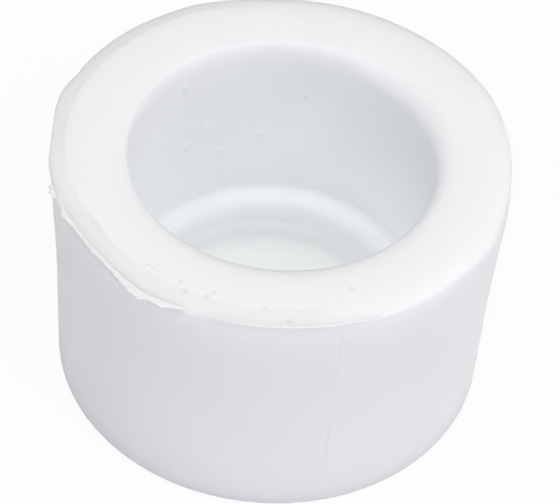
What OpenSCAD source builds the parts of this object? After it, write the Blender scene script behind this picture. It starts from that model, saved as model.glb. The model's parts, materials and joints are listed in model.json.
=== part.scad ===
// Socket cap for plastic water pipe, welded on with a heated tool.
// It stands on its closed end with the mouth up. Z is the socket's axis and z = 0 the closed end's face.
// Azimuths are in degrees from +X towards +Y.

/* [Wall] */
// Height from the closed end to the rim
height = 22.4; // [21.5:0.1:28]
// Outside diameter at the parting line, under the rim
rim_d = 36; // [34:0.1:42]
// Outside diameter at the closed end, smaller by the moulding draft
end_d = 33.6; // [30:0.1:34]
// Radius round the edge of the closed end
end_round = 0.8; // [0.3:0.05:1.5]
// Thickness of the closed end, up to the floor of the recess
end_wall = 2.65; // [2:0.05:3.5]

/* [Rim] */
// Width of the sloping band round the outside of the rim
bevel_w = 1.6; // [1:0.05:2.4]
// How far that band falls from the rim to the parting line
bevel_drop = 0.45; // [0.2:0.05:1]
// Radius of the rim's outer edge
edge_round = 0.3; // [0.1:0.05:0.5]
// Radius of the lip where the rim turns into the socket
lip_round = 0.65; // [0.3:0.05:1]

/* [Socket] */
// Diameter of the socket that takes the pipe's end
bore_d = 24; // [22:0.1:26]
// Depth from the rim to the pipe's stop
socket_depth = 16; // [13:0.1:16.5]
// Width of the ledge that stops the pipe
stop_w = 1.6; // [1:0.05:3]
// Radius of the ledge's inner edge
stop_round = 1.15; // [0.2:0.05:2]
// Fillet between the socket and the ledge
stop_fillet = 0.4; // [0.1:0.05:0.6]
// Draft of the recess below the ledge, in degrees
recess_draft = 5; // [0:0.5:10]
// Fillet between the recess and its floor
floor_fillet = 0.3; // [0.1:0.05:0.8]

/* [Gate] */
// Diameter of the shallow well round the gate
well_d = 9; // [6:0.1:14]
// Depth of that well
well_depth = 0.6; // [0.4:0.05:1]
// Diameter of the stub that the cut gate leaves
stub_d = 2.4; // [1.5:0.1:4]
// Height of that stub, less than the well is deep
stub_h = 0.3; // [0.1:0.05:0.35]

/* [Flash] */
// Thickness of the flash squeezed out at the parting line
flash_t = 0.24; // [0.15:0.01:0.4]
// Furthest reach of the flash beyond the wall
flash_reach = 0.62; // [0.3:0.01:0.9]
// Azimuth where the ragged flash begins
flash_from = 203; // [201:1:215]
// Angle that the ragged flash covers
flash_span = 44; // [20:1:48]
// Azimuth of the lone nib of flash
nib_at = 197.5; // [180:0.5:198]
// Reach of the nib beyond the wall
nib_reach = 0.36; // [0.2:0.01:0.6]
// Thickness of the burr that the trimming knife turned up
burr_t = 0.26; // [0.15:0.01:0.4]
// Azimuth where the burr begins
burr_from = 252; // [250:1:265]
// Angle that the burr covers
burr_span = 46; // [20:1:60]

/* [Hidden] */
$fn = 360;

rim_r = rim_d / 2;
end_r = end_d / 2;
bore_r = bore_d / 2;
recess_r = bore_r - stop_w;
stop_z = height - socket_depth;
// The recess is what the socket and the closed end leave of the height
recess_depth = stop_z - end_wall;
floor_r = recess_r - recess_depth * tan(recess_draft);
parting_z = height - bevel_drop;
// The flash lies against the rounded edge, with its top level with the parting line
flash_z = parting_z - flash_t;
// The ledge's edge is rounded over no more than its fillet leaves of the ledge, and the recess below it
ledge_round = min(stop_round, 0.95 * (stop_w - stop_fillet), 0.7 * recess_depth);
// What a corner's arc is larger by, so that it crosses both sides and leaves no step there
hair = 0.0003;

white = [0.93, 0.93, 0.94];
flash_white = [0.88, 0.88, 0.89];

// Direction from one point to another, of length one
function towards(from, to) = (to - from) / norm(to - from);

// For corner i of a closed outline of [x, z, radius]: the kite between its two tangent points,
// the arc's centre and a point past the corner, the arc's radius, and whether the corner turns outwards
function corner(outline, i) =
    let (
        n = len(outline),
        at = function(k) [outline[(k + n) % n].x, outline[(k + n) % n].y],
        p = at(i),
        u = towards(p, at(i - 1)),
        v = towards(p, at(i + 1)),
        half = acos(u * v) / 2,
        r = outline[i].z,
        centre = p + towards(p, p + u + v) * r / sin(half),
        past = 1.5 * p - 0.5 * centre
    )
    [[centre, p + u * r / tan(half), past, p + v * r / tan(half)], r, u.x * v.y - u.y * v.x < 0];

// What an arc takes off a corner that turns outwards, or adds in one that turns inwards
module corner_sliver(c) {
    difference() {
        polygon(c[0]);
        translate(c[0][0]) circle(c[1] + hair);
    }
}

// A closed outline, listed anticlockwise, with each corner turned to its own radius
module rounded_outline(outline) {
    rounded = [for (i = [0 : len(outline) - 1]) if (outline[i].z > 0) corner(outline, i)];
    difference() {
        union() {
            polygon([for (p = outline) [p.x, p.y]]);
            for (c = rounded) if (!c[2]) corner_sliver(c);
        }
        for (c = rounded) if (c[2]) corner_sliver(c);
    }
}

// The outside alone: closed end, drafted wall, rounded edge, sloping band and rim, filled solid
module outer_form() {
    rotate_extrude() rounded_outline([
        [0, 0, 0],
        [end_r, 0, end_round],
        [rim_r, parting_z, edge_round],
        [rim_r - bevel_w, height, 0],
        [0, height, 0],
    ]);
}

// What the core leaves: lip, socket, stop ledge and recess
module socket_hollow() {
    lip_r = bore_r + lip_round;
    above = height + lip_round;
    rotate_extrude() rounded_outline([
        [0, end_wall, 0],
        [floor_r, end_wall, floor_fillet],
        [recess_r, stop_z, ledge_round],
        [bore_r, stop_z, stop_fillet],
        [bore_r, above, 0],
        [0, above, 0],
    ]);
    rotate_extrude() difference() {
        translate([bore_r - lip_round, height - lip_round]) square([2 * lip_round, 2 * lip_round]);
        translate([lip_r, height - lip_round]) circle(lip_round);
    }
}

// The well round the gate, with the stub left standing in it
module gate_well() {
    difference() {
        translate([0, 0, -well_depth]) cylinder(d = well_d, h = 2 * well_depth);
        translate([0, 0, well_depth - stub_h]) cylinder(d = stub_d, h = 2 * stub_h);
    }
}

// The moulded cap
module cap_body() {
    color(white) difference() {
        outer_form();
        socket_hollow();
        gate_well();
    }
}

// Reach of the ragged flash at a share s of its span: lobes of [place, reach, half width], all in shares,
// with finer tears over them
function ragged(s) =
    let (
        lobes = [[0.05, 0.5, 0.2], [0.62, 0.45, 0.15], [0.8, 1, 0.13]],
        swell = max([for (l = lobes) l[1] * (0.5 + 0.5 * cos(180 * min(1, abs(s - l[0]) / l[2])))]),
        tears = 0.82 + 0.1 * sin(s * 2900 + 40) + 0.08 * sin(s * 5300)
    )
    flash_reach * (0.08 + 0.92 * swell * tears);

// Ragged fin of flash along the front left of the parting line
module rim_flash() {
    steps = 66;
    function along(s, r) = let (a = flash_from + flash_span * s) r * [cos(a), sin(a)];
    torn_edge = [for (i = [0 : steps]) along(i / steps, rim_r + ragged(i / steps))];
    root = [for (s = [1, 0.5, 0]) along(s, rim_r - 2 * flash_reach)];
    color(flash_white) difference() {
        translate([0, 0, flash_z]) linear_extrude(flash_t) polygon(concat(torn_edge, root));
        outer_form();
    }
}

// Lone nib of flash standing out of the outline at the left: lobes of [place along the wall, size]
// in shares of the nib's reach
module flash_nib() {
    lobes = [[-1.3, 0.75], [0, 1], [1.25, 0.65]];
    color(flash_white) difference() {
        translate([0, 0, flash_z])
            for (lobe = lobes)
                rotate(nib_at + asin(lobe[0] * nib_reach / rim_r))
                    translate([rim_r, 0])
                        cylinder(r = nib_reach * lobe[1], h = flash_t);
        outer_form();
    }
}

// Thin burr that the trimming knife turned up along the front edge
module knife_burr() {
    inset = 2 * burr_t;
    seat = [rim_r - inset, parting_z + inset * bevel_drop / bevel_w];
    color(flash_white) difference() {
        rotate(burr_from) rotate_extrude(angle = burr_span)
            translate(seat) circle(d = burr_t);
        outer_form();
    }
}

cap_body();
rim_flash();
flash_nib();
knife_burr();
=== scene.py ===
import json
import math
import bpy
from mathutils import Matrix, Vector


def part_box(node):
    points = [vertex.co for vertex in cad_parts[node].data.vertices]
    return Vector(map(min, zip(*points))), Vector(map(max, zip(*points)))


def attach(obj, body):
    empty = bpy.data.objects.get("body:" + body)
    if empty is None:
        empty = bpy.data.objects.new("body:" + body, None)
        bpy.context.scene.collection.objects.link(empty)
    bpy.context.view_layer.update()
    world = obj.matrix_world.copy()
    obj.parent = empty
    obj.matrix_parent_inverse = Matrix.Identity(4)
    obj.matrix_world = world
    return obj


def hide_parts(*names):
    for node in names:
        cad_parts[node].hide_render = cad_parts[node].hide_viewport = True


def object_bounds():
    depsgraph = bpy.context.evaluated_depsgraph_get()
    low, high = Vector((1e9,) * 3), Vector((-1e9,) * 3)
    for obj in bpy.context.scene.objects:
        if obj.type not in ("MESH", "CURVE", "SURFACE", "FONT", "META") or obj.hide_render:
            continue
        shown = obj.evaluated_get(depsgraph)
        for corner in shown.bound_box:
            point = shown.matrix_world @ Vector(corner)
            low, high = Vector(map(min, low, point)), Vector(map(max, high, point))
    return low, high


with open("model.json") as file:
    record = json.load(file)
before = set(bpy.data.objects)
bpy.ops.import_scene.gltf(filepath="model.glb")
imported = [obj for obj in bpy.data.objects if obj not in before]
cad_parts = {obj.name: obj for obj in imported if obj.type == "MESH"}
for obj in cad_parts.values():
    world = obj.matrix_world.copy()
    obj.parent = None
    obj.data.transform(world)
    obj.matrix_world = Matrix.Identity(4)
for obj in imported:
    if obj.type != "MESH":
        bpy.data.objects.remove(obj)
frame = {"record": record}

from types import SimpleNamespace

import bmesh
import bpy
import numpy as np
from mathutils import Matrix, Vector

bl_info = {
    "name": "Moulded Pipe Cap",
    "version": (1, 0, 0),
    "blender": (4, 5, 0),
    "location": "3D View > Sidebar > Pipe Cap",
    "description": "A white moulded cap for the end of a plastic pipe, with the flash left on its rim",
    "category": "Add Mesh",
}

# Sizes in this file are in millimetres. The properties that a user sees, Blender's own lengths and the
# CAD box are in metres.
# Azimuths are in degrees from +X towards +Y, as in the part's own frame.
MM = 0.001
CAD_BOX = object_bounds()
CAP_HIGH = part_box("cap_body")[1] / MM
FLASH_LOW, FLASH_HIGH = (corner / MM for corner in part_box("rim_flash"))
NIB_LOW, NIB_HIGH = (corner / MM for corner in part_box("flash_nib"))
SOCKET = next(mount for mount in frame["record"]["mounts"] if mount["name"] == "socket")


def linear(hex_colour):
    """An sRGB colour such as #F1F1F2 as linear red, green, blue and alpha."""
    channels = [int(hex_colour[i:i + 2], 16) / 255 for i in (1, 3, 5)]
    return [c / 12.92 if c <= 0.04045 else ((c + 0.055) / 1.055) ** 2.4 for c in channels] + [1.0]


def length(name, description, size):
    """A size that a user may change, given in millimetres and kept in metres."""
    return bpy.props.FloatProperty(
        name=name, description=description, default=size * MM, min=0.0,
        precision=5, unit="LENGTH", subtype="DISTANCE")


def colour(name, description, hex_colour):
    """A colour that a user may change."""
    return bpy.props.FloatVectorProperty(
        name=name, description=description, default=linear(hex_colour), size=4,
        min=0.0, max=1.0, subtype="COLOR")


class CapSizes(bpy.types.PropertyGroup):
    """Sizes of the moulding, from its closed end to its rim and down into its socket."""
    height: length("Height", "From the closed end to the rim", CAP_HIGH.z)
    rim_r: length("Rim radius", "Outside radius at the parting line, before its edge is rounded", 18)
    end_r: length("End radius", "Outside radius at the closed end, before its edge is rounded", 16.8)
    end_round: length("End round", "Radius round the edge of the closed end", 0.8)
    bevel_w: length("Bevel width", "Width of the sloping band round the rim", 1.6)
    bevel_drop: length("Bevel drop", "How far that band falls to the parting line", 0.45)
    edge_round: length("Edge round", "Radius of the rim's outer edge", 0.3)
    lip_round: length("Lip round", "Radius of the lip where the rim turns into the socket", 0.65)
    bore_r: length("Bore radius", "Radius of the socket", SOCKET["dims"]["r_mm"])
    socket_depth: length("Socket depth", "From the rim to the ledge that stops the pipe", 16)
    stop_w: length("Ledge width", "Width of the ledge that stops the pipe", 1.6)
    stop_round: length("Ledge round", "Radius of the ledge's inner edge", 1.15)
    stop_fillet: length("Ledge fillet", "Fillet between the socket and the ledge", 0.4)
    recess_taper: length("Recess taper", "How much narrower the recess is at its floor", 0.45)
    shoulder_rise: length("Shoulder rise", "From the floor up to the shoulder in the recess", 0.85)
    shoulder_h: length("Shoulder height", "Height of that shoulder", 0.5)
    shoulder_round: length("Shoulder round", "Radius above and below that shoulder", 0.3)
    end_wall: length("End wall", "Thickness of the closed end", 2.65)
    floor_fillet: length("Floor fillet", "Fillet between the recess and its floor", 0.55)
    well_r: length("Well radius", "Radius of the shallow well round the gate", 4.5)
    well_depth: length("Well depth", "Depth of that well", 0.6)
    stub_r: length("Stub radius", "Radius of the stub that the cut gate leaves", 1.2)
    stub_h: length("Stub height", "Height of that stub", 0.3)
    steps: bpy.props.IntProperty(
        name="Steps", description="Vertices round the cap", default=540, min=24)


class FlashSizes(bpy.types.PropertyGroup):
    """Sizes of what the parting line and the trimming knife left on the rim."""
    fin_reach: length("Fin reach", "Furthest reach of the torn fin beyond the wall", 0.62)
    fin_t: length("Fin thickness", "Thickness of that fin at its root", FLASH_HIGH.z - FLASH_LOW.z)
    nib_reach: length("Nib reach", "Reach of the lone nib beyond the wall", 0.36)
    nib_t: length("Nib thickness", "Thickness of that nib", NIB_HIGH.z - NIB_LOW.z)
    burr_t: length("Burr thickness", "Thickness of the burr that the knife turned up", 0.26)


class CapColours(bpy.types.PropertyGroup):
    """Colours of the plastic."""
    moulded: colour("Moulded", "The moulded surface", "#FCFFFF")
    clouded: colour("Clouded", "The same where the pigment is a little thinner", "#F8FEFF")
    trimmed: colour("Trimmed", "Where the knife took the rim's edge off", "#F0F1EF")
    streak: colour("Streak", "The marks where the cavity drew off", "#F1F2F4")
    scuff: colour("Scuff", "Scuffs in the socket", "#FCFFFF")
    # Colour of the dark specks moulded in, which also paints shade into the pits and along the seam
    specks_and_shade: colour("Dirt", "What lies in pits, the seam and specks", "#A39F9A")
    flash: colour("Flash", "The torn and cut edges of the flash", "#F9F9F9")


class StageSettings(bpy.types.PropertyGroup):
    """What the cap stands on and how it is lit."""
    floor_size: length("Floor size", "Side of the floor", 2000)
    floor: colour("Floor", "The floor as it lights the cap", "#F3F3F5")
    floor_glow: bpy.props.FloatProperty(
        name="Floor glow", description="Share of plain white in what the camera sees of the floor",
        default=0.92, min=0.0, max=1.0, subtype="FACTOR")
    dome: colour("Dome", "Colour of the light from all round", "#FFFFFF")
    dome_level: bpy.props.FloatProperty(
        name="Dome level", description="Level of the light from all round", default=0.21, min=0.0)


class PipeCapSettings(bpy.types.PropertyGroup):
    """Everything that a user may change."""
    sizes: bpy.props.PointerProperty(type=CapSizes)
    flash: bpy.props.PointerProperty(type=FlashSizes)
    colours: bpy.props.PointerProperty(type=CapColours)
    stage: bpy.props.PointerProperty(type=StageSettings)


def add_node(tree, kind, inputs=(), **settings):
    """Adds a node, sets its settings, and links or sets its inputs."""
    node = tree.nodes.new(kind)
    for name, value in settings.items():
        setattr(node, name, value)
    for key, value in dict(inputs).items():
        if isinstance(value, bpy.types.NodeSocket):
            tree.links.new(value, node.inputs[key])
        else:
            node.inputs[key].default_value = value
    return node


def in_millimetres(group):
    """The lengths of a property group, in millimetres."""
    lengths = {name: getattr(group, name) for name in group.__annotations__}
    return SimpleNamespace(**{name: size / MM for name, size in lengths.items() if isinstance(size, float)})


# Outlines

# Radius of the corners that the tool leaves nearly sharp
CRISP = 0.08
# Shares of the recess's taper that are taken above its shoulder, and down to the shoulder's foot
ABOVE_SHOULDER, TO_SHOULDER = 0.1, 0.95
# Longest stretch between points: round a corner, on plain walls, on the rim, and near the rim's edge
ARC_STEP, WALL_STEP, RIM_STEP, EDGE_STEP = 0.1, 0.9, 0.3, 0.09
# The rim is this deep for that purpose, and its edge this wide
RIM_DEPTH, EDGE_ZONE = 1.5, 2.4


def rounded(outline, arc_step):
    """Points along an outline of (x, y, radius) with each corner turned to its own radius."""
    points = []
    for i, (x, y, radius) in enumerate(outline):
        corner = np.array([x, y])
        if not radius:
            points.append(corner)
            continue
        before, after = (np.array(outline[k][:2]) - corner for k in (i - 1, i + 1))
        before, after = before / np.linalg.norm(before), after / np.linalg.norm(after)
        half = math.acos(np.clip(before @ after, -1, 1)) / 2
        middle = before + after
        centre = corner + middle / np.linalg.norm(middle) * radius / math.sin(half)
        start = corner + before * radius / math.tan(half) - centre
        turn = math.copysign(math.pi - 2 * half, before[1] * after[0] - before[0] * after[1])
        steps = max(2, math.ceil(abs(turn) * radius / arc_step))
        for angle in np.linspace(0, turn, steps + 1):
            c, s = math.cos(angle), math.sin(angle)
            points.append(centre + [c * start[0] - s * start[1], s * start[0] + c * start[1]])
    return points


def spaced(points, longest):
    """The same outline with more points, so that no stretch is longer than longest(x, y) there."""
    dense = [points[0]]
    for a, b in zip(points, points[1:]):
        steps = max(1, math.ceil(np.linalg.norm(b - a) / longest(*(a + b) / 2)))
        dense.extend(a + (b - a) * k / steps for k in range(1, steps + 1))
    return dense


def cap_section(sizes):
    """Half the cap's section: from the axis under the closed end, round the outside and down the socket
    to the recess's floor."""
    s = in_millimetres(sizes)
    stub_z = s.well_depth - s.stub_h
    stop_z = s.height - s.socket_depth
    recess_r = s.bore_r - s.stop_w
    shoulder_z = s.end_wall + s.shoulder_rise
    outline = [
        (0, stub_z, 0),
        (s.stub_r, stub_z, CRISP),
        (s.stub_r, s.well_depth, CRISP),
        (s.well_r, s.well_depth, CRISP),
        (s.well_r, 0, CRISP),
        (s.end_r, 0, s.end_round),
        (s.rim_r, s.height - s.bevel_drop, s.edge_round),
        (s.rim_r - s.bevel_w, s.height, CRISP),
        (s.bore_r, s.height, s.lip_round),
        (s.bore_r, stop_z, s.stop_fillet),
        (recess_r, stop_z, s.stop_round),
        (recess_r - ABOVE_SHOULDER * s.recess_taper, shoulder_z + s.shoulder_h, s.shoulder_round),
        (recess_r - TO_SHOULDER * s.recess_taper, shoulder_z, s.shoulder_round),
        (recess_r - s.recess_taper, s.end_wall, s.floor_fillet),
        (0, s.end_wall, 0),
    ]

    def longest(r, z):
        if z < s.height - RIM_DEPTH or r < s.bore_r:
            return WALL_STEP
        return EDGE_STEP if r > s.rim_r - EDGE_ZONE else RIM_STEP

    return spaced(rounded(outline, ARC_STEP), longest)


# Meshes

# Points of a mesh that are closer than this become one
MERGE = 0.001
# Sides of a bead's rounded section
BEAD_SIDES = 14


def chain(name, points, **attributes):
    """An object whose mesh is one open chain of points, with a float attribute for each named list."""
    mesh = bpy.data.meshes.new(name)
    mesh.from_pydata([Vector(p) * MM for p in points], [(i, i + 1) for i in range(len(points) - 1)], [])
    for attribute, values in attributes.items():
        data = mesh.attributes.new(attribute, "FLOAT", "POINT").data
        data.foreach_set("value", np.asarray(values, np.float32))
    obj = bpy.data.objects.new(name, mesh)
    bpy.context.scene.collection.objects.link(obj)
    return obj


def node_tree(name, inputs):
    """An empty geometry tree with a geometry socket each way and the named inputs."""
    tree = bpy.data.node_groups.new(name, "GeometryNodeTree")
    tree.interface.new_socket("Geometry", in_out="INPUT", socket_type="NodeSocketGeometry")
    tree.interface.new_socket("Geometry", in_out="OUTPUT", socket_type="NodeSocketGeometry")
    for label, kind in inputs.items():
        tree.interface.new_socket(label, in_out="INPUT", socket_type=kind)
    return tree


def grow(obj, tree, values):
    """Runs a geometry tree on an object with the named values, and keeps the result as its plain mesh."""
    modifier = obj.modifiers.new(tree.name, "NODES")
    modifier.node_group = tree
    for item in tree.interface.items_tree:
        if item.in_out == "INPUT" and item.name in values:
            modifier[item.identifier] = values[item.name]
    graph = bpy.context.evaluated_depsgraph_get()
    mesh = bpy.data.meshes.new_from_object(obj.evaluated_get(graph))
    obj.modifiers.remove(modifier)
    obj.data = mesh
    if not mesh.polygons:
        raise RuntimeError(f"{tree.name} made no faces on {obj.name}")
    return obj


def place(obj, node):
    """Puts a finished piece on the part's one body, in place of its solid."""
    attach(obj, "root")
    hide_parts(node)


def revolve_tree():
    """Sweeps half a section round the socket's circle and closes it on the axis."""
    tree = node_tree("Moulded revolve", {
        "Path radius": "NodeSocketFloat",
        "Steps": "NodeSocketInt",
        "Material": "NodeSocketMaterial",
    })
    given = add_node(tree, "NodeGroupInput").outputs
    section = add_node(tree, "GeometryNodeMeshToCurve", {"Mesh": given["Geometry"]})
    circle = add_node(tree, "GeometryNodeCurvePrimitiveCircle", {
        "Resolution": given["Steps"], "Radius": given["Path radius"]})
    level = add_node(tree, "GeometryNodeSetCurveNormal", {"Curve": circle.outputs["Curve"]}, mode="Z_UP")
    swept = add_node(tree, "GeometryNodeCurveToMesh", {
        "Curve": level.outputs["Curve"], "Profile Curve": section.outputs["Curve"]})
    closed = add_node(tree, "GeometryNodeMergeByDistance", {
        "Geometry": swept.outputs["Mesh"], "Distance": MERGE * MM})
    real = add_node(tree, "GeometryNodeRealizeInstances", {"Geometry": closed.outputs["Geometry"]})
    dressed = add_node(tree, "GeometryNodeSetMaterial", {
        "Geometry": real.outputs["Geometry"], "Material": given["Material"]})
    add_node(tree, "NodeGroupOutput", {"Geometry": dressed.outputs["Geometry"]})
    return tree


def bead_tree():
    """Sweeps a flat bead along a chain of points, as wide at each as its reach there says."""
    tree = node_tree("Flash bead", {
        "Thickness share": "NodeSocketFloat",
        "Root share": "NodeSocketFloat",
        "Material": "NodeSocketMaterial",
    })
    given = add_node(tree, "NodeGroupInput").outputs
    path = add_node(tree, "GeometryNodeMeshToCurve", {"Mesh": given["Geometry"]})
    level = add_node(tree, "GeometryNodeSetCurveNormal", {"Curve": path.outputs["Curve"]}, mode="Z_UP")
    reach = add_node(tree, "GeometryNodeInputNamedAttribute", {"Name": "reach"}, data_type="FLOAT")
    # The bead's section runs from its root, inside the path, to one reach outside the path
    whole = add_node(tree, "ShaderNodeMath", {0: given["Root share"], 1: 1.0}, operation="ADD")
    half = add_node(tree, "ShaderNodeMath", {0: whole.outputs[0], 1: 0.5}, operation="MULTIPLY")
    middle = add_node(tree, "ShaderNodeMath", {0: 1.0, 1: half.outputs[0]}, operation="SUBTRACT")
    half_t = add_node(tree, "ShaderNodeMath", {0: given["Thickness share"], 1: 0.5}, operation="MULTIPLY")
    place_at = add_node(tree, "ShaderNodeCombineXYZ", {"X": middle.outputs[0]})
    shape = add_node(tree, "ShaderNodeCombineXYZ", {
        "X": half.outputs[0], "Y": half_t.outputs[0], "Z": 1.0})
    circle = add_node(tree, "GeometryNodeCurvePrimitiveCircle", {"Resolution": BEAD_SIDES, "Radius": 1.0})
    section = add_node(tree, "GeometryNodeTransform", {
        "Geometry": circle.outputs["Curve"],
        "Translation": place_at.outputs[0],
        "Scale": shape.outputs[0]})
    swept = add_node(tree, "GeometryNodeCurveToMesh", {
        "Curve": level.outputs["Curve"],
        "Profile Curve": section.outputs["Geometry"],
        "Scale": reach.outputs["Attribute"],
        "Fill Caps": True})
    real = add_node(tree, "GeometryNodeRealizeInstances", {"Geometry": swept.outputs["Mesh"]})
    dressed = add_node(tree, "GeometryNodeSetMaterial", {
        "Geometry": real.outputs["Geometry"], "Material": given["Material"]})
    add_node(tree, "NodeGroupOutput", {"Geometry": dressed.outputs["Geometry"]})
    return tree


def outwards(mesh):
    """Turns every face outwards and smooths it."""
    work = bmesh.new()
    work.from_mesh(mesh)
    bmesh.ops.recalc_face_normals(work, faces=work.faces)
    work.to_mesh(mesh)
    work.free()
    mesh.shade_smooth()


# Rim

# How the mould and the knife left the rim, given round it: azimuth, radius where the outer band
# begins, its fall as a share of the bevel's, share of that fall that is one step, width of that step as a
# share of the band, swell of the edge, how many times rounder the edge is, width and depth of the lip
TRIM = [
    (0, 16.4, 0.4, 0.0, 1.0, -0.19, 1.2, 1.3, 1.0),
    (14, 16.2, 0.35, 0.0, 1.0, -0.13, 0.4, 1.7, 1.2),
    (28, 16.0, 0.3, 0.0, 1.0, 0.03, 0.4, 2.0, 1.4),
    (45, 15.8, 0.25, 0.0, 1.0, -0.14, 0.4, 2.2, 1.7),
    (60, 15.7, 0.25, 0.0, 1.0, -0.32, 0.4, 1.4, 1.9),
    (77, 15.6, 0.25, 0.1, 0.8, -0.41, 0.4, 0.7, 2.1),
    (97, 15.8, 0.35, 0.2, 0.5, -0.56, 0.4, 0.5, 2.2),
    (108, 16.4, 0.7, 0.35, 0.4, -0.15, 1.0, 0.5, 2.2),
    (116, 16.8, 1.0, 0.3, 0.5, 0.18, 1.0, 0.5, 2.1),
    (125, 16.8, 1.0, 0.3, 0.5, 0.16, 1.0, 0.5, 2.0),
    (135, 16.85, 1.0, 0.32, 0.5, 0.24, 1.0, 0.5, 1.8),
    (150, 16.9, 1.0, 0.35, 0.5, 0.28, 1.0, 0.5, 1.4),
    (156, 16.9, 1.0, 0.35, 0.5, 0.22, 1.0, 0.5, 1.2),
    (161, 16.95, 1.0, 0.38, 0.45, 0.46, 1.0, 0.5, 1.1),
    (165, 16.95, 1.0, 0.4, 0.4, 0.44, 1.0, 0.5, 1.0),
    (171, 16.95, 1.0, 0.45, 0.35, 0.27, 1.0, 0.45, 0.7),
    (180, 16.9, 1.0, 0.5, 0.3, 0.17, 1.0, 0.4, 0.5),
    (192, 16.7, 1.0, 0.35, 0.3, 0.08, 1.0, 0.35, 0.4),
    (205, 16.4, 1.0, 0.2, 0.3, 0.15, 1.0, 0.35, 0.35),
    (213, 16.35, 1.0, 0.14, 0.3, 0.0, 1.0, 0.35, 0.35),
    (219, 16.25, 1.0, 0.12, 0.3, -0.08, 1.0, 0.35, 0.35),
    (229, 16.1, 1.0, 0.12, 0.3, 0.08, 1.0, 0.35, 0.35),
    (237, 16.1, 1.0, 0.12, 0.3, 0.35, 1.0, 0.35, 0.35),
    (244, 16.05, 1.0, 0.12, 0.3, 0.18, 1.0, 0.35, 0.35),
    (249, 16.05, 0.9, 0.12, 0.3, 0.05, 1.0, 0.35, 0.35),
    (256, 16.1, 0.5, 0.12, 0.3, 0.0, 1.0, 0.35, 0.35),
    (275, 16.05, 0.3, 0.1, 0.3, -0.02, 1.0, 0.35, 0.35),
    (288, 16.1, 0.35, 0.1, 0.4, 0.0, 1.2, 0.35, 0.35),
    (300, 16.3, 0.35, 0.0, 0.6, 0.0, 1.2, 0.4, 0.4),
    (310, 16.35, 0.4, 0.0, 0.8, 0.0, 2.2, 0.5, 0.5),
    (320, 16.4, 0.4, 0.0, 1.0, -0.02, 3.0, 0.6, 0.6),
    (338, 16.6, 0.45, 0.0, 1.0, 0.16, 2.6, 0.9, 0.8),
    (350, 16.5, 0.45, 0.0, 1.0, -0.18, 1.6, 1.1, 0.9),
]
# Pits that the knife left on the rim: azimuth, radius, length round the rim, width and depth
PITS = [
    (213, 16.35, 1.2, 0.1, 0.02),
    (233, 15.9, 0.16, 0.16, 0.05),
    (235, 15.75, 0.12, 0.12, 0.03),
    (244, 15.7, 0.18, 0.18, 0.06),
    (247, 16.3, 0.14, 0.14, 0.08),
    (252.5, 16.0, 0.18, 0.18, 0.14),
    (254, 15.6, 0.14, 0.14, 0.06),
    (268.5, 16.0, 0.14, 0.14, 0.08),
    (275, 17.2, 0.14, 0.14, 0.15),
    (294, 14.7, 0.16, 0.16, 0.08),
]
# Two points closer than this are taken to be at one place
TOUCH = 0.01
# How far from its corner the working of the lip, the outer band and the outer edge reaches
LIP_REACH, BAND_REACH, EDGE_REACH = 3.0, 4.5, 1.5
# How far out of the bore the rim's top begins
TOP_FROM = 1.0
# How far the band's inner line wavers for a full step, and how much its slope steepens on the way out
LINE_WAVER, SLOPE_BEND = 0.05, 0.6
# Waves that make a line round the rim uneven: how many round the rim, phase in degrees
WAVES = [(41, 10), (97, 70), (173, 200), (311, 25)]
# How far below the edge a swell and a turned-in stretch die away
SWELL_FADE, TURN_IN_FADE = 0.9, 2.6
# How far the wall sinks in at half its height
SINK = 0.15
# The stretch of the rim that the knife trimmed, and the angle over which its mark dies away, in degrees
KNIFE_AZIMUTH, KNIFE_SPAN, KNIFE_FADE = 243, 116, 25
# Share of the band over which the knife's mark begins
KNIFE_LINE = 1 / 8
# The seam down the front
SEAM_AZIMUTH, SEAM_WIDTH, SEAM_DEPTH = 288.0, 0.11, 0.012
# How strongly the seam shows: height, share
SEAM_MARK = [(4, 0.0), (6, 0.6), (8.5, 0.7), (11, 0.3), (14, 0.4), (17, 0.8), (21, 1.0)]
# How strongly shade is painted into the pits and along the seam, as a darker colour
PIT_SHADE, SEAM_SHADE = 0.7, 0.35


def smoothstep(x):
    """Zero up to nought, one from one on, and smooth between."""
    x = np.clip(x, 0, 1)
    return x * x * (3 - 2 * x)


def read_round(table, azimuth):
    """The columns of a table of azimuths, read at any azimuth."""
    at, *columns = np.array(table, float).T
    return [np.interp(azimuth, at, column, period=360) for column in columns]


def moved(distance, knot, to, end):
    """Distances from a corner, with the one at knot moved to another place and none past end changed."""
    near = distance * to / knot
    far = to + (distance - knot) * (end - to) / (end - knot)
    return np.where(distance < knot, near, np.where(distance < end, far, distance))


def uneven(azimuth):
    """A wavering line round the rim, between about minus one and one."""
    return sum(np.sin(np.radians(azimuth * count + phase)) for count, phase in WAVES) / 2


def apart(azimuth, other):
    """Degrees from one azimuth to another, the short way round."""
    return (np.asarray(azimuth) - other + 180) % 360 - 180


def band_fall(out, step, step_w):
    """Share of the band's fall at a share of the way out from its inner line: a step, then a soft slope."""
    return step * smoothstep(out / step_w) + (1 - step) * out ** (1 + SLOPE_BEND * (1 - step))


def on_band(azimuth, out, sizes):
    """Radius and height of the trimmed band at a share of the way out from its inner line."""
    s = in_millimetres(sizes)
    line_r, fall, step, step_w, swell, *_ = read_round(TRIM, azimuth)
    r = line_r + out * (s.rim_r - line_r) + swell * smoothstep(out)
    return r, s.height - s.bevel_drop * fall * band_fall(out, step, step_w)


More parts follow.
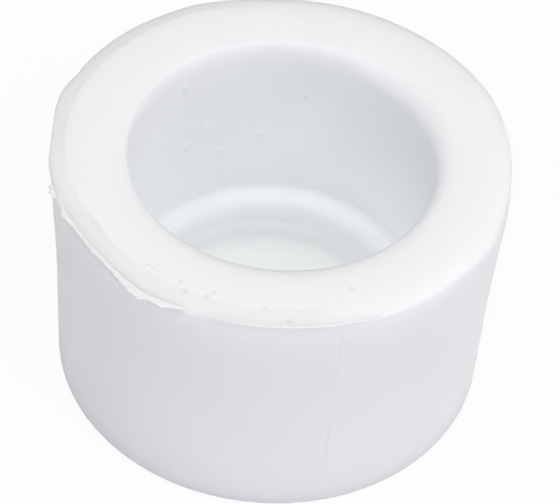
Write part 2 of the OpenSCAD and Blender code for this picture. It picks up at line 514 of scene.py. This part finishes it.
def work_rim(mesh, sizes):
    """Gives the plain revolve its uneven lip, edge and band, its sunken wall, pits and seam, and a mask of
    the shade painted into the pits and along the seam.
    """
    s = in_millimetres(sizes)
    co = np.empty(3 * len(mesh.vertices), np.float32)
    mesh.vertices.foreach_get("co", co)
    x, y, z = co.reshape(-1, 3).T.astype(float) / MM
    r, azimuth = np.hypot(x, y), np.degrees(np.arctan2(y, x))
    below = s.height - z
    line_r, fall, step, step_w, swell, rounder, lip_w, lip_h = read_round(TRIM, azimuth)
    line_r = line_r + LINE_WAVER * step * uneven(azimuth)

    lip = (r > s.bore_r - TOUCH) & (r < s.bore_r + LIP_REACH) & (below < LIP_REACH)
    r = np.where(lip, s.bore_r + moved(r - s.bore_r, s.lip_round, lip_w, LIP_REACH), r)
    below = np.where(lip, moved(below, s.lip_round, lip_h, LIP_REACH), below)

    # The rounded edge is scaled about its corner, and what lies past it makes room
    top = (r > s.bore_r + TOP_FROM) & (below < s.bevel_drop + s.edge_round)
    inward = s.rim_r - r
    under_band = below - s.bevel_drop * np.clip(1 - inward / s.bevel_w, 0, 1)
    from_edge = np.maximum(np.maximum(inward, under_band), TOUCH)
    larger = moved(from_edge, s.edge_round, rounder * s.edge_round, EDGE_REACH) / from_edge
    inward = inward * larger
    below = under_band * larger + s.bevel_drop * np.clip(1 - inward / s.bevel_w, 0, 1)

    band = s.rim_r - line_r
    inward = np.where(top, moved(inward, s.bevel_w, band, BAND_REACH), inward)
    out = np.where(top, np.clip(1 - inward / band, 0, 1), 0)
    r = s.rim_r - inward
    below = below + s.bevel_drop * (fall * band_fall(out, step, step_w) - out)

    outside = (r > s.end_r - s.end_round) & ~lip
    under_edge = np.clip(below - s.bevel_drop - s.edge_round, 0, None)
    swollen = smoothstep(1 - under_edge / SWELL_FADE)
    turned_in = np.clip(1 - under_edge / TURN_IN_FADE, 0, 1) ** 2
    share = np.where(top, smoothstep(out), np.where(swell > 0, swollen, turned_in))
    r = r + np.where(outside, swell * share, 0)
    # Shrinkage draws the wall in between its thick foot and its rim
    rise = np.clip((s.height - below) / (s.height - s.bevel_drop), 0, 1)
    r = r - np.where(outside, SINK * np.sin(math.pi * rise) ** 2, 0)

    # Shade painted into the pits and along the seam; the pits and the seam are also real shallow hollows
    pit_seam_shade = np.zeros_like(r)
    for pit_azimuth, pit_r, pit_length, pit_width, depth in PITS:
        along = np.radians(apart(azimuth, pit_azimuth)) * pit_r / pit_length
        across = (r - pit_r) / pit_width
        near = np.where(top, np.exp(-(along ** 2 + across ** 2) / 2), 0)
        below = below + depth * near
        pit_seam_shade = np.maximum(pit_seam_shade, PIT_SHADE * near)
    wall = outside & ~top
    across = np.radians(apart(azimuth, SEAM_AZIMUTH)) * s.rim_r
    seam = np.where(wall, np.exp(-across ** 2 / (2 * SEAM_WIDTH ** 2)), 0)
    seam = seam * np.interp(s.height - below, *zip(*SEAM_MARK))
    r = r - SEAM_DEPTH * seam
    pit_seam_shade = np.maximum(pit_seam_shade, SEAM_SHADE * seam)

    turn = np.radians(azimuth)
    worked = np.stack([r * np.cos(turn), r * np.sin(turn), s.height - below], axis=1) * MM
    worked = np.clip(worked, CAD_BOX[0], CAD_BOX[1])
    mesh.vertices.foreach_set("co", worked.astype(np.float32).ravel())
    knife = smoothstep((KNIFE_SPAN / 2 - np.abs(apart(azimuth, KNIFE_AZIMUTH))) / KNIFE_FADE)
    trimmed = np.where(top, knife * smoothstep(out / KNIFE_LINE), 0)
    marks = {"drawn": wall, "trimmed": trimmed, "pit_seam_shade": pit_seam_shade}
    for name, values in marks.items():
        mesh.attributes.new(name, "FLOAT", "POINT").data.foreach_set("value", values.astype(np.float32))
    mesh.update()


# Materials

# Scuffs that the core or a tool left in the socket: azimuth, radius, height and size
SCUFFS = [
    (130, 12, 13.0, 0.9),
    (122, 12, 14.4, 0.8),
    (127, 12, 14.8, 0.6),
    (136, 12, 13.0, 0.6),
    (116, 12, 11.2, 0.6),
    (123.5, 12, 10.4, 0.5),
    (99.5, 12, 12.5, 0.6),
    (133, 12, 20.0, 0.7),
    (145, 12, 19.4, 0.7),
]
# Dark specks moulded in, by the same measures
SPECKS = [
    (83, 12, 16.9, 0.22),
    (275, 17.2, 22.2, 0.2),
    (285.4, 17.3, 8.9, 0.16),
    (286.3, 17.3, 8.7, 0.14),
    (287.2, 17.2, 7.4, 0.14),
]
# How wide the patterns are: clouds of pigment, smudges of shine, stretch marks, draw marks, tears, grain
CLOUD, SMUDGE, STRESS, STREAK, TEAR, GRAIN = 7, 4, 0.8, 0.7, 0.6, 0.35
# How far the stretch marks, draw marks, tears, grain and scuffs stand up
STRESS_H, STREAK_H, TEAR_H, GRAIN_H, SCUFF_H = 0.04, 0.0035, 0.03, 0.004, 0.1
# Radius that the draw marks are laid out on, and how much they change on the way up, as a share
WALL_R, STREAK_DRIFT = 17.4, 0.03
# Share of its full colour that the specks and the shade painted into the pits and the seam show
SPECK_AND_SHADE_SHARE = 0.4
# How far light goes into the plastic
SCATTER = 3.0


def spots(tree, place_at, marks):
    """One at the middle of any of the marks, falling smoothly to zero at its size."""
    most = 0.0
    for azimuth, r, z, size in marks:
        turn = math.radians(azimuth)
        centre = Vector((r * math.cos(turn), r * math.sin(turn), z)) * MM
        away = add_node(tree, "ShaderNodeVectorMath", {0: place_at, 1: centre}, operation="DISTANCE")
        near = add_node(tree, "ShaderNodeMapRange", {
            "Value": away.outputs["Value"], "From Min": 0.0, "From Max": size * MM,
            "To Min": 1.0, "To Max": 0.0}, interpolation_type="SMOOTHSTEP")
        larger = add_node(tree, "ShaderNodeMath", {0: near.outputs[0], 1: most}, operation="MAXIMUM")
        most = larger.outputs[0]
    return most


def moulded_polypropylene(colours):
    """Polypropylene moulded in a polished steel tool: milky white with a soft satin shine, shadows softened
    by the light inside it, and faint upright marks where the cavity drew off."""
    material = bpy.data.materials.new("moulded polypropylene")
    material.use_nodes = True
    tree = material.node_tree
    tree.nodes.clear()
    here = add_node(tree, "ShaderNodeTexCoord").outputs["Object"]
    drawn, trimmed, pit_seam_shade = (
        add_node(tree, "ShaderNodeAttribute", attribute_name=name).outputs["Fac"]
        for name in ("drawn", "trimmed", "pit_seam_shade"))

    # Pigment that is a little uneven
    cloud = add_node(tree, "ShaderNodeTexNoise", {"Vector": here, "Scale": 1 / (CLOUD * MM), "Detail": 3.0})
    clouded = add_node(tree, "ShaderNodeMix", {
        "Factor": cloud.outputs["Fac"],
        "A": tuple(colours.moulded), "B": tuple(colours.clouded)}, data_type="RGBA")

    # The band that the knife pared
    pared = add_node(tree, "ShaderNodeMix", {
        "Factor": trimmed,
        "A": clouded.outputs["Result"], "B": tuple(colours.trimmed)}, data_type="RGBA")

    # Draw marks that run up the outside and hardly change on the way
    flat = add_node(tree, "ShaderNodeVectorMath", {0: here, 1: (1, 1, 0)}, operation="MULTIPLY")
    round_wall = add_node(tree, "ShaderNodeVectorMath", {0: flat.outputs[0]}, operation="NORMALIZE")
    on_wall = add_node(tree, "ShaderNodeVectorMath", {
        0: round_wall.outputs[0], "Scale": WALL_R * MM}, operation="SCALE")
    rise = add_node(tree, "ShaderNodeVectorMath", {0: here, 1: (0, 0, STREAK_DRIFT)}, operation="MULTIPLY")
    streaked = add_node(tree, "ShaderNodeVectorMath", {
        0: on_wall.outputs[0], 1: rise.outputs[0]}, operation="ADD")
    streak = add_node(tree, "ShaderNodeTexNoise", {
        "Vector": streaked.outputs[0], "Scale": 1 / (STREAK * MM), "Detail": 2.0})
    streak_here = add_node(tree, "ShaderNodeMath", {
        0: streak.outputs["Fac"], 1: drawn}, operation="MULTIPLY")
    streak_dark = add_node(tree, "ShaderNodeMapRange", {
        "Value": streak_here.outputs[0],
        "From Min": 0.45, "From Max": 0.75, "To Min": 0.0, "To Max": 0.12})
    marked = add_node(tree, "ShaderNodeMix", {
        "Factor": streak_dark.outputs[0],
        "A": pared.outputs["Result"], "B": tuple(colours.streak)}, data_type="RGBA")

    # Scuffs, dark specks moulded in, and shade painted as a darker colour into the pits and along the seam
    scuff = spots(tree, here, SCUFFS)
    speck = spots(tree, here, SPECKS)
    scuffed = add_node(tree, "ShaderNodeMix", {
        "Factor": scuff,
        "A": marked.outputs["Result"], "B": tuple(colours.scuff)}, data_type="RGBA")
    specks_and_shade = add_node(tree, "ShaderNodeMath", {0: speck, 1: pit_seam_shade}, operation="MAXIMUM")
    specks_and_shade_share = add_node(tree, "ShaderNodeMath", {
        0: specks_and_shade.outputs[0], 1: SPECK_AND_SHADE_SHARE}, operation="MULTIPLY")
    specked_and_shaded = add_node(tree, "ShaderNodeMix", {
        "Factor": specks_and_shade_share.outputs[0],
        "A": scuffed.outputs["Result"], "B": tuple(colours.specks_and_shade)}, data_type="RGBA")

    # Heights in millimetres: what the knife tore, the tool's grain, the scuffs and the draw marks
    grain = add_node(tree, "ShaderNodeTexNoise", {"Vector": here, "Scale": 1 / (GRAIN * MM), "Detail": 2.0})
    tear = add_node(tree, "ShaderNodeTexNoise", {"Vector": here, "Scale": 1 / (TEAR * MM), "Detail": 3.0})
    torn = add_node(tree, "ShaderNodeMath", {0: tear.outputs["Fac"], 1: trimmed}, operation="MULTIPLY")
    torn_h = add_node(tree, "ShaderNodeMath", {0: torn.outputs[0], 1: TEAR_H}, operation="MULTIPLY")
    grain_h = add_node(tree, "ShaderNodeMath", {
        0: grain.outputs["Fac"], 1: GRAIN_H, 2: torn_h.outputs[0]}, operation="MULTIPLY_ADD")
    scuff_h = add_node(tree, "ShaderNodeMath", {
        0: scuff, 1: SCUFF_H, 2: grain_h.outputs[0]}, operation="MULTIPLY_ADD")
    height = add_node(tree, "ShaderNodeMath", {
        0: streak_here.outputs[0], 1: STREAK_H, 2: scuff_h.outputs[0]}, operation="MULTIPLY_ADD")
    bump = add_node(tree, "ShaderNodeBump", {"Height": height.outputs[0], "Distance": MM})

    # A satin shine that handling has smudged
    smudge = add_node(tree, "ShaderNodeTexNoise", {
        "Vector": here, "Scale": 1 / (SMUDGE * MM), "Detail": 3.0})
    rough = add_node(tree, "ShaderNodeMapRange", {
        "Value": smudge.outputs["Fac"], "From Min": 0.3, "From Max": 0.7, "To Min": 0.42, "To Max": 0.56})

    # Light goes into the plastic everywhere but at the raised scuffs and the specks
    skin = add_node(tree, "ShaderNodeMath", {0: scuff, 1: speck}, operation="MAXIMUM")
    scatter = add_node(tree, "ShaderNodeMath", {0: 1.0, 1: skin.outputs[0]}, operation="SUBTRACT")

    shader = add_node(tree, "ShaderNodeBsdfPrincipled", {
        "Base Color": specked_and_shaded.outputs["Result"],
        "Roughness": rough.outputs[0],
        "Normal": bump.outputs["Normal"],
        "IOR": 1.49,
        "Specular IOR Level": 0.25,
        "Subsurface Weight": scatter.outputs[0],
        "Subsurface Radius": (1.0, 1.0, 1.0),
        "Subsurface Scale": SCATTER * MM,
    })
    add_node(tree, "ShaderNodeOutputMaterial", {"Surface": shader.outputs["BSDF"]})
    return material


def torn_polypropylene(colours):
    """The same plastic where it was squeezed thin and then torn or cut: rough, with whiter patches where
    it was stretched, and none of the depth of the moulded skin."""
    material = bpy.data.materials.new("torn polypropylene")
    material.use_nodes = True
    tree = material.node_tree
    tree.nodes.clear()
    here = add_node(tree, "ShaderNodeTexCoord").outputs["Object"]
    stress = add_node(tree, "ShaderNodeTexNoise", {
        "Vector": here, "Scale": 1 / (STRESS * MM), "Detail": 3.0})
    whitened = add_node(tree, "ShaderNodeMix", {
        "Factor": stress.outputs["Fac"],
        "A": tuple(colours.trimmed), "B": tuple(colours.flash)}, data_type="RGBA")
    height = add_node(tree, "ShaderNodeMath", {0: stress.outputs["Fac"], 1: STRESS_H}, operation="MULTIPLY")
    bump = add_node(tree, "ShaderNodeBump", {"Height": height.outputs[0], "Distance": MM})
    shader = add_node(tree, "ShaderNodeBsdfPrincipled", {
        "Base Color": whitened.outputs["Result"],
        "Normal": bump.outputs["Normal"],
        "Roughness": 0.5,
        "IOR": 1.49,
        "Specular IOR Level": 0.3,
    })
    add_node(tree, "ShaderNodeOutputMaterial", {"Surface": shader.outputs["BSDF"]})
    return material


# Pieces

class OBJECT_OT_moulded_cap(bpy.types.Operator):
    """The moulding itself"""
    bl_idname = "object.moulded_cap"
    bl_label = "Moulded Cap"

    def execute(self, context):
        settings = context.scene.pipe_cap
        sizes = settings.sizes
        bore_r = sizes.bore_r / MM
        section = [(r - bore_r, -z, 0) for r, z in cap_section(sizes)]
        cap = chain("moulded_cap", section)
        grow(cap, revolve_tree(), {
            "Path radius": sizes.bore_r,
            "Steps": sizes.steps,
            "Material": moulded_polypropylene(settings.colours),
        })
        work_rim(cap.data, sizes)
        outwards(cap.data)
        place(cap, "cap_body")
        return {"FINISHED"}


# Reach of the torn fin beyond the edge of the band, in shares of its furthest: azimuth, share
FIN = [
    (203, 0.0), (204.5, 0.3), (206, 0.6), (208, 0.35), (211, 0.1), (216, 0.15), (219.5, 0.4), (223, 0.2),
    (228, 0.35), (231, 0.6), (234, 0.8), (236, 1.0), (238.3, 1.0), (240.3, 0.45), (242, 0.75), (244.3, 0.7),
    (246, 0.3), (249, 0.0),
]
# How far inside the edge the fin ends where nothing was squeezed out, its longest tongue past the swollen
# edge as a share of its reach, how far it stands above the edge, and how much its tears change its reach
FIN_INSIDE, FIN_SHARE, FIN_RISE, FIN_TEAR = 0.14, 0.6, 0.1, 0.25
# How many times finer the fin's tears are than the other waves round the rim
FIN_FINER = 3
# The nib's three lobes, in shares of its reach: place along the edge, size
NIB_LOBES = [(-1.3, 0.75), (0, 1.0), (1.25, 0.65)]
# The nib's place, and its half length in shares of its reach
NIB_AZIMUTH, NIB_HALF = 197.5, 2.2
# The stretch of the rim that the burr runs along, in degrees
BURR_FROM, BURR_TO = 252, 298
# Share of the way out on the band where the burr lies, and the degrees over which it thins to its ends
BURR_OUT, BURR_FADE = 0.9, 8
# The burr's shares: thickness at its ends, unevenness, and how deep it sits in the band
BURR_END, BURR_UNEVEN, BURR_SUNK = 0.3, 0.15, 0.6
# How far inside the edge a bead's path runs, and how much further in its root goes, as a share of its reach
ROOT, ROOT_SHARE = 0.25, 0.6
# Points along a long bead and along the nib
LONG_POINTS, NIB_POINTS = 180, 60


def bead(name, azimuth, r, z, reach, thickness_share, root_share, material, node):
    """A bead of plastic along the rim, from its path and its reach in millimetres."""
    turn = np.radians(azimuth)
    points = np.stack([r * np.cos(turn), r * np.sin(turn), z], axis=1)
    piece = chain(name, points, reach=reach * MM)
    grow(piece, bead_tree(), {
        "Thickness share": thickness_share,
        "Root share": root_share,
        "Material": material,
    })
    outwards(piece.data)
    place(piece, node)


class OBJECT_OT_rim_flash(bpy.types.Operator):
    """What the parting line and the knife left on the rim: a torn fin, a lone nib and a turned-up burr"""
    bl_idname = "object.rim_flash"
    bl_label = "Rim Flash"

    def execute(self, context):
        settings = context.scene.pipe_cap
        sizes, flash = settings.sizes, in_millimetres(settings.flash)
        material = torn_polypropylene(settings.colours)

        azimuth = np.linspace(FIN[0][0], FIN[-1][0], LONG_POINTS)
        r, z = on_band(azimuth, 1.0, sizes)
        share, = read_round(FIN, azimuth)
        tongue = FIN_SHARE * flash.fin_reach + FIN_INSIDE
        reach = ROOT + tongue * share * (1 + FIN_TEAR * uneven(FIN_FINER * azimuth))
        # Its top stays level along the edge, though it is thinner where it reaches less far
        thickness = flash.fin_t / (ROOT + tongue)
        bead("torn_fin", azimuth, r - ROOT - FIN_INSIDE, z + FIN_RISE - thickness * reach / 2, reach,
             thickness, ROOT_SHARE, material, "rim_flash")

        along = np.linspace(-NIB_HALF, NIB_HALF, NIB_POINTS)
        azimuth = NIB_AZIMUTH + np.degrees(along * flash.nib_reach / (sizes.rim_r / MM))
        r, z = on_band(azimuth, 1.0, sizes)
        lobes = [np.sqrt(np.clip(size ** 2 - (along - at) ** 2, 0, None)) for at, size in NIB_LOBES]
        reach = ROOT + flash.nib_reach * np.max(lobes, axis=0)
        bead("edge_nib", azimuth, r - ROOT, z - flash.nib_t / 2, reach,
             flash.nib_t / (ROOT + flash.nib_reach), ROOT_SHARE, material, "flash_nib")

        azimuth = np.linspace(BURR_FROM, BURR_TO, LONG_POINTS)
        r, z = on_band(azimuth, BURR_OUT, sizes)
        ends = smoothstep((azimuth - BURR_FROM) / BURR_FADE) * smoothstep((BURR_TO - azimuth) / BURR_FADE)
        thick = BURR_END + (1 - BURR_END) * ends
        reach = flash.burr_t / 2 * thick * (1 - BURR_UNEVEN + BURR_UNEVEN * uneven(azimuth))
        # A round bead: as thick as it is wide, and as far in as out
        bead("knife_burr_edge", azimuth, r, z - BURR_SUNK * reach, reach, 2.0, 1.0, material, "knife_burr")
        return {"FINISHED"}


# Stage

# Softboxes round the cap: name, azimuth, elevation, side, level and colour
LAMPS = [
    ("top softbox", 270, 86, 500, 0.345, "#FEFFF6"),
    ("left softbox", 225, 45, 400, 0.248, "#F2EFFF"),
    ("right softbox", 315, 45, 400, 0.303, "#F3F2FF"),
    ("side softbox", 0, 30, 400, 0.168, "#FFF2F0"),
]
LAMP_DISTANCE = 800
# A hair between the floor and the closed end, so that the two faces don't flicker
FLOOR_GAP = 0.05
# The camera of the photograph, in millimetres, degrees and pixels of its frame
AIM_Z = 11
CAMERA_AZIMUTH = -90
CAMERA_ELEVATION = 47.064
CAMERA_ROLL = 4.7275
CAMERA_DISTANCE = 356.27
FRAME_W, FRAME_H = 560, 504
FOCAL_PIXELS = 4500
AIM_PIXEL = (274.583, 254.546)
SENSOR_W = 36
# Nearest and furthest that the camera sees, in metres
CLIP = 0.01, 10


def direction(azimuth, elevation):
    """Unit vector towards an azimuth and elevation."""
    a, e = math.radians(azimuth), math.radians(elevation)
    return Vector((math.cos(a) * math.cos(e), math.sin(a) * math.cos(e), math.sin(e)))


class OBJECT_OT_cap_stage(bpy.types.Operator):
    """Floor, light and camera"""
    bl_idname = "object.cap_stage"
    bl_label = "Stage"

    def execute(self, context):
        stage = context.scene.pipe_cap.stage
        self.floor(context, stage)
        self.world(context, stage)
        for lamp in LAMPS:
            self.lamp(context, *lamp)
        self.camera(context)
        context.scene.view_settings.view_transform = "Standard"
        return {"FINISHED"}

    def seen_directly(self, tree):
        """One for rays from the camera, or by way of a shine or a clear piece, and zero for light."""
        path = add_node(tree, "ShaderNodeLightPath").outputs
        shine = add_node(tree, "ShaderNodeMath", {
            0: path["Is Camera Ray"], 1: path["Is Glossy Ray"]}, operation="MAXIMUM")
        return add_node(tree, "ShaderNodeMath", {
            0: shine.outputs[0], 1: path["Is Transmission Ray"]}, operation="MAXIMUM").outputs[0]

    def floor(self, context, stage):
        """A sweep of white paper: nearly plain white to the camera, with a trace of the cap's shadow."""
        half, z = stage.floor_size / 2, -FLOOR_GAP * MM
        corners = [(-half, -half, z), (half, -half, z), (half, half, z), (-half, half, z)]
        mesh = bpy.data.meshes.new("floor")
        mesh.from_pydata(corners, [], [(0, 1, 2, 3)])
        material = bpy.data.materials.new("white sweep")
        material.use_nodes = True
        tree = material.node_tree
        tree.nodes.clear()
        paper = add_node(tree, "ShaderNodeBsdfDiffuse", {"Color": tuple(stage.floor)})
        glow = add_node(tree, "ShaderNodeEmission", {"Color": (1, 1, 1, 1), "Strength": 1.0})
        share = add_node(tree, "ShaderNodeMath", {
            0: self.seen_directly(tree), 1: stage.floor_glow}, operation="MULTIPLY")
        lit = add_node(tree, "ShaderNodeMixShader", {
            0: share.outputs[0], 1: paper.outputs[0], 2: glow.outputs[0]})
        # Clear from below, so that the closed end can be looked at
        clear = add_node(tree, "ShaderNodeBsdfTransparent")
        side = add_node(tree, "ShaderNodeNewGeometry")
        sided = add_node(tree, "ShaderNodeMixShader", {
            0: side.outputs["Backfacing"], 1: lit.outputs[0], 2: clear.outputs[0]})
        add_node(tree, "ShaderNodeOutputMaterial", {"Surface": sided.outputs[0]})
        mesh.materials.append(material)
        floor = bpy.data.objects.new("floor", mesh)
        context.scene.collection.objects.link(floor)

    def world(self, context, stage):
        """Soft light from all round, behind which the camera sees plain white."""
        world = bpy.data.worlds.new("studio")
        world.use_nodes = True
        tree = world.node_tree
        tree.nodes.clear()
        light = add_node(tree, "ShaderNodeBackground", {
            "Color": tuple(stage.dome), "Strength": stage.dome_level})
        white = add_node(tree, "ShaderNodeBackground", {"Color": (1, 1, 1, 1), "Strength": 1.0})
        mixed = add_node(tree, "ShaderNodeMixShader", {
            0: self.seen_directly(tree), 1: light.outputs[0], 2: white.outputs[0]})
        add_node(tree, "ShaderNodeOutputWorld", {"Surface": mixed.outputs[0]})
        context.scene.world = world

    def lamp(self, context, name, azimuth, elevation, side, level, hex_colour):
        """A square softbox that faces the cap and that the camera doesn't see."""
        data = bpy.data.lights.new(name, "AREA")
        data.color = linear(hex_colour)[:3]
        data.size = side * MM
        # This energy gives a matt white surface that faces the lamp a tone of one at level one
        data.energy = level * math.pi * math.pi * (LAMP_DISTANCE * MM) ** 2
        lamp = bpy.data.objects.new(name, data)
        towards = direction(azimuth, elevation)
        lamp.location = towards * LAMP_DISTANCE * MM
        lamp.rotation_euler = towards.to_track_quat("Z", "Y").to_euler()
        lamp.visible_camera = False
        context.scene.collection.objects.link(lamp)

    def camera(self, context):
        """The photograph's view: a long lens from the front and above, rolled a little."""
        data = bpy.data.cameras.new("camera")
        data.sensor_width = SENSOR_W
        data.lens = SENSOR_W * FOCAL_PIXELS / FRAME_W
        data.shift_x = (FRAME_W / 2 - AIM_PIXEL[0]) / FRAME_W
        data.shift_y = (AIM_PIXEL[1] - FRAME_H / 2) / FRAME_W
        data.clip_start, data.clip_end = CLIP
        camera = bpy.data.objects.new("camera", data)
        back = direction(CAMERA_AZIMUTH, CAMERA_ELEVATION)
        turn = (-back).to_track_quat("-Z", "Y").to_matrix().to_4x4()
        roll = Matrix.Rotation(math.radians(CAMERA_ROLL), 4, "Z")
        aim = Vector((0, 0, AIM_Z))
        camera.matrix_world = Matrix.Translation((aim + back * CAMERA_DISTANCE) * MM) @ turn @ roll
        context.scene.collection.objects.link(camera)
        context.scene.camera = camera


class VIEW3D_PT_pipe_cap(bpy.types.Panel):
    """Builds the cap piece by piece"""
    bl_label = "Pipe Cap"
    bl_space_type = "VIEW_3D"
    bl_region_type = "UI"
    bl_category = "Pipe Cap"

    def draw(self, context):
        layout = self.layout
        settings = context.scene.pipe_cap
        for group in (settings.sizes, settings.flash, settings.colours, settings.stage):
            box = layout.box()
            for name in group.__annotations__:
                box.prop(group, name)
        for operator in OPERATORS:
            layout.operator(operator.bl_idname)


OPERATORS = (OBJECT_OT_moulded_cap, OBJECT_OT_rim_flash, OBJECT_OT_cap_stage)
CLASSES = (CapSizes, FlashSizes, CapColours, StageSettings, PipeCapSettings, *OPERATORS, VIEW3D_PT_pipe_cap)


def register():
    for cls in CLASSES:
        bpy.utils.register_class(cls)
    bpy.types.Scene.pipe_cap = bpy.props.PointerProperty(type=PipeCapSettings)


def unregister():
    del bpy.types.Scene.pipe_cap
    for cls in reversed(CLASSES):
        bpy.utils.unregister_class(cls)


def main():
    register()
    bpy.ops.object.moulded_cap()
    bpy.ops.object.rim_flash()
    bpy.ops.object.cap_stage()


if __name__ == "__main__":
    main()
